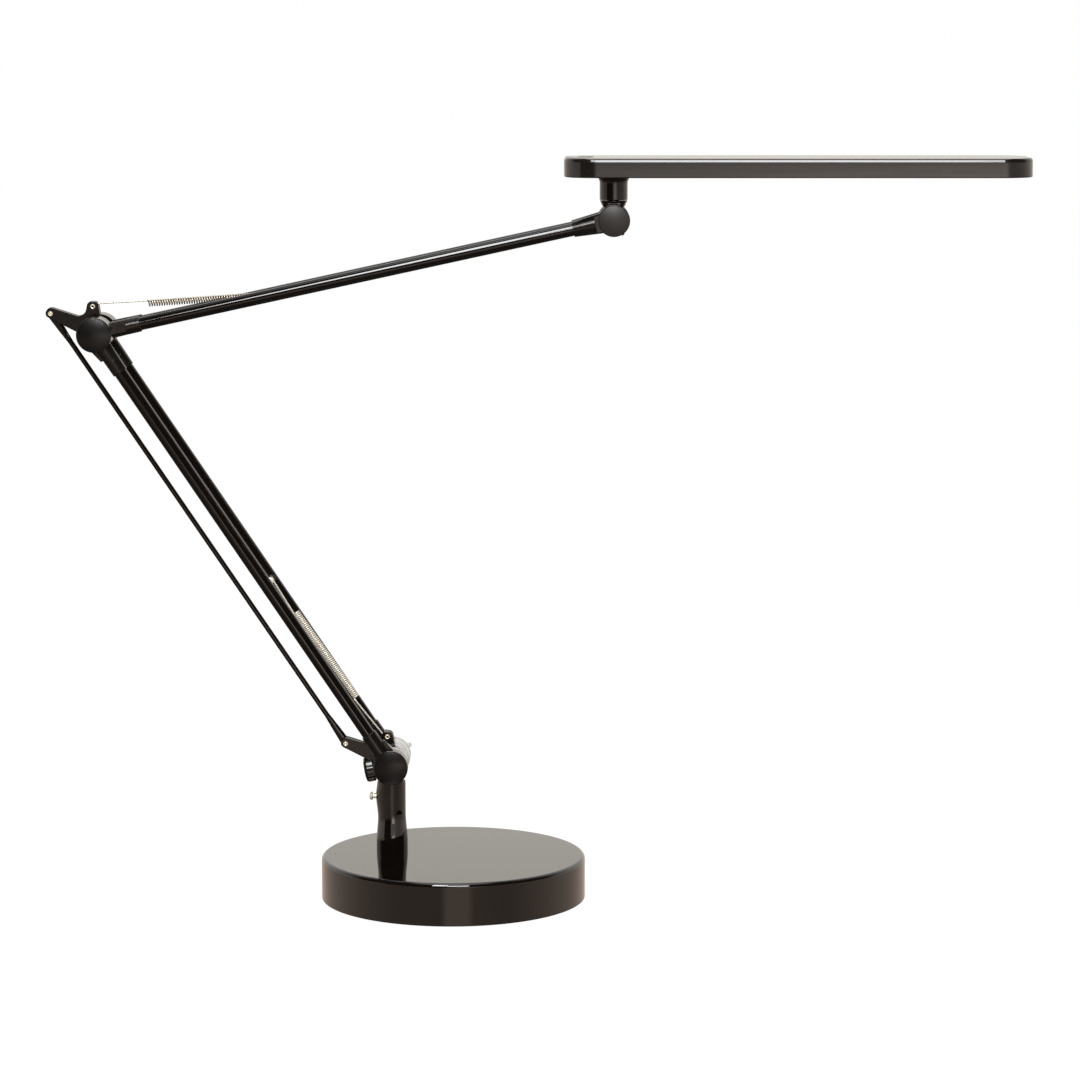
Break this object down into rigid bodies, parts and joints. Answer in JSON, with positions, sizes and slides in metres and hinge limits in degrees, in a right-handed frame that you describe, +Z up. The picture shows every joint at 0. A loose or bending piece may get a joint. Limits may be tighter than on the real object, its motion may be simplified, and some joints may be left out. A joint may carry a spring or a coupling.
{
  "type": "desk lamp",
  "caption": "Black led desk lamp: weighted round base, spring-balanced double arm with a parallel link rod, and a long flat head that tilts and swivels on a short neck.",
  "frame": {"origin": "centre of the base's underside", "axes": "+Z up, +X from the elbow towards the free end of the head, arms in a plane of constant Y"},
  "size_m": [0.7383, 0.2016, 0.5599],
  "materials": {
    "gloss_black_paint": "gloss",
    "black_tube_paint": "gloss",
    "black_socket_plastic": "satin",
    "black_cap_plastic": "satin",
    "nickel": "bright",
    "steel": "zinc plated",
    "cast_weight": "raw",
    "pad_rubber": "matt",
    "black_anodised": "satin black anodised",
    "diffuser_plastic": "opal",
    "board": "coated board",
    "led_phosphor": "matt"
  },
  "bodies": {
    "base": {"base_cover": "gloss_black_paint", "base_plate": "steel", "base_weight": "cast_weight", "base_pad": "pad_rubber", "base_screws": "steel", "foot_bolt": "steel", "cord_gland": "black_socket_plastic", "post": "gloss_black_paint", "clamp_screw": "nickel"},
    "swivel": {"lower_bracket": "gloss_black_paint", "spindle": "steel", "lower_hub_rings": "nickel", "lower_rod_rivet": "nickel", "lower_spring_rivet": "nickel"},
    "lower_arm": {"lower_elbow_socket_rear": "black_socket_plastic", "lower_elbow_socket_front": "black_socket_plastic", "lower_foot_socket_rear": "black_socket_plastic", "lower_foot_socket_front": "black_socket_plastic", "lower_tube_rear": "black_tube_paint", "lower_tube_front": "black_tube_paint", "lower_spring_pin": "nickel", "lower_pin_collars": "black_socket_plastic", "lower_bolt": "steel", "lower_wing_nut": "nickel", "lower_cap_front": "black_cap_plastic", "elbow_bolt": "steel", "elbow_nut": "steel", "elbow_cap_front": "black_cap_plastic", "elbow_cap_rear": "black_cap_plastic"},
    "link_rod": {"link_rod": "black_tube_paint"},
    "lower_spring_lead": {"lower_spring_lead": "nickel"},
    "lower_spring_coil": {"lower_spring_coil": "nickel"},
    "elbow_bracket": {"elbow_bracket": "gloss_black_paint", "elbow_rod_rivet": "nickel", "elbow_spring_rivet": "nickel"},
    "upper_arm": {"upper_elbow_socket_rear": "black_socket_plastic", "upper_elbow_socket_front": "black_socket_plastic", "upper_head_socket_rear": "black_socket_plastic", "upper_head_socket_front": "black_socket_plastic", "upper_tube_rear": "black_tube_paint", "upper_tube_front": "black_tube_paint", "upper_spring_pin": "nickel", "upper_pin_collars": "black_socket_plastic", "head_bolt": "steel", "head_wing_nut": "black_cap_plastic", "head_cap_front": "black_cap_plastic"},
    "upper_spring_lead": {"upper_spring_lead": "nickel"},
    "upper_spring_coil": {"upper_spring_coil": "nickel"},
    "head_tilt": {"head_knuckle": "gloss_black_paint", "swivel_screw": "steel"},
    "head": {"neck": "gloss_black_paint", "head_housing": "black_anodised", "end_cover": "black_cap_plastic", "diffuser": "diffuser_plastic", "led_board": "board", "leds": "led_phosphor", "driver_board": "board", "cover_screws": "steel"},
    "button": {"push_button": "black_cap_plastic"}
  },
  "joints": [
    {"name": "base_swivel", "type": "hinge", "parent": "base", "child": "swivel", "pos_m": [-0.0475, 0.026, 0.0998], "axis": [0, 0, 1], "range_deg": [-170, 170]},
    {"name": "lower_arm_lean", "type": "hinge", "parent": "swivel", "child": "lower_arm", "pos_m": [-0.0475, 0.026, 0.0998], "axis": [0, 1, 0], "range_deg": [-14, 35]},
    {"name": "link_rod_turn", "type": "hinge", "parent": "swivel", "child": "link_rod", "pos_m": [-0.0824, 0.026, 0.11405], "axis": [0, 1, 0], "range_deg": [-14.5, 35.5]},
    {"name": "elbow_bracket_turn", "type": "hinge", "parent": "lower_arm", "child": "elbow_bracket", "pos_m": [-0.26695, 0.026, 0.42823], "axis": [0, -1, 0], "range_deg": [-14.5, 35.5]},
    {"name": "lower_spring_turn", "type": "hinge", "parent": "swivel", "child": "lower_spring_lead", "pos_m": [-0.05055, 0.026, 0.1194], "axis": [0, 1, 0], "range_deg": [-16.32, 40.04]},
    {"name": "lower_spring_stretch", "type": "slide", "parent": "lower_spring_lead", "child": "lower_spring_coil", "axis": [-0.5738, 0, 0.819], "range_m": [-0.00317, 0.00139], "deforming": ["lower_spring_coil"]},
    {"name": "upper_arm_lift", "type": "hinge", "parent": "elbow_bracket", "child": "upper_arm", "pos_m": [-0.26695, 0.026, 0.42823], "axis": [0, -1, 0], "range_deg": [-15, 30]},
    {"name": "upper_spring_turn", "type": "hinge", "parent": "elbow_bracket", "child": "upper_spring_lead", "pos_m": [-0.27, 0.026, 0.44783], "axis": [0, -1, 0], "range_deg": [-15.67, 30.83]},
    {"name": "upper_spring_stretch", "type": "slide", "parent": "upper_spring_lead", "child": "upper_spring_coil", "axis": [0.9975, 0, 0.071], "range_m": [-0.01041, 0.0053], "deforming": ["upper_spring_coil"]},
    {"name": "head_tilt", "type": "hinge", "parent": "upper_arm", "child": "head_tilt", "pos_m": [0.12097, 0.026, 0.51267], "axis": [0, 1, 0], "range_deg": [-35, 45]},
    {"name": "head_swivel", "type": "hinge", "parent": "head_tilt", "child": "head", "pos_m": [0.12097, 0.026, 0.51267], "axis": [0, 0, 1], "range_deg": [-90, 90]},
    {"name": "button_press", "type": "slide", "parent": "head", "child": "button", "axis": [0, 0, -1], "range_m": [0, 0.001], "stiffness_N_per_m": 800}
  ],
  "couplings": [
    {"joint": "link_rod_turn", "follows": "lower_arm_lean", "ratio": 1},
    {"joint": "elbow_bracket_turn", "follows": "lower_arm_lean", "ratio": 1},
    {"joint": "lower_spring_turn", "follows": "lower_arm_lean", "ratio": 1.1298},
    {"joint": "lower_spring_stretch", "follows": "lower_arm_lean", "m_per_rad": -0.0048673},
    {"joint": "upper_spring_turn", "follows": "upper_arm_lift", "ratio": 1.0111},
    {"joint": "upper_spring_stretch", "follows": "upper_arm_lift", "m_per_rad": -0.019492}
  ]
}
